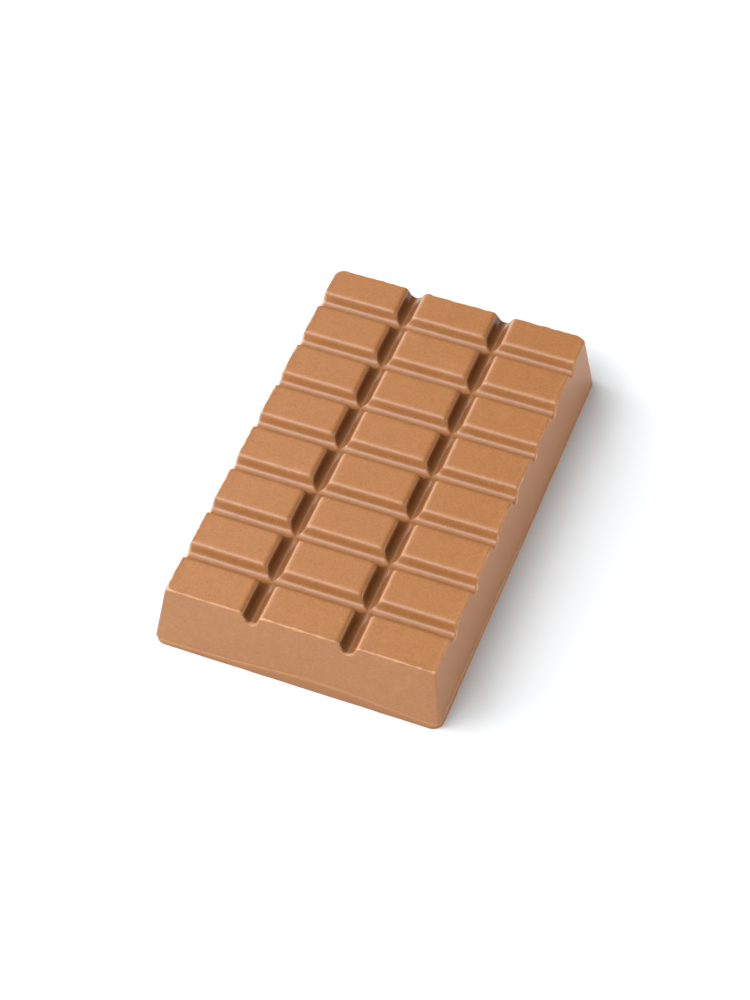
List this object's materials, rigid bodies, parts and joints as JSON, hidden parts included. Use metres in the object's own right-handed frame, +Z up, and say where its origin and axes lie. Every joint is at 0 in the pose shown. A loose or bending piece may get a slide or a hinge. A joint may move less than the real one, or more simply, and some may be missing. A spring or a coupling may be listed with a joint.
{
  "type": "chocolate block",
  "caption": "Thick moulded block of milk chocolate with sloping sides, scored by rounded grooves into oblong pieces to break off; it lies flat on its base.",
  "frame": {"origin": "centre of the block's flat base, on the surface it lies on", "axes": "+Z up through the scored top, +Y along the long side towards the far end, +X across to the right"},
  "size_m": [0.075, 0.121, 0.0186],
  "materials": {
    "milk_chocolate": "satin milk chocolate: soft sheen, faint mottling, pale worn edges"
  },
  "bodies": {
    "root": {"chocolate_bar": "milk_chocolate"}
  },
  "joints": []
}
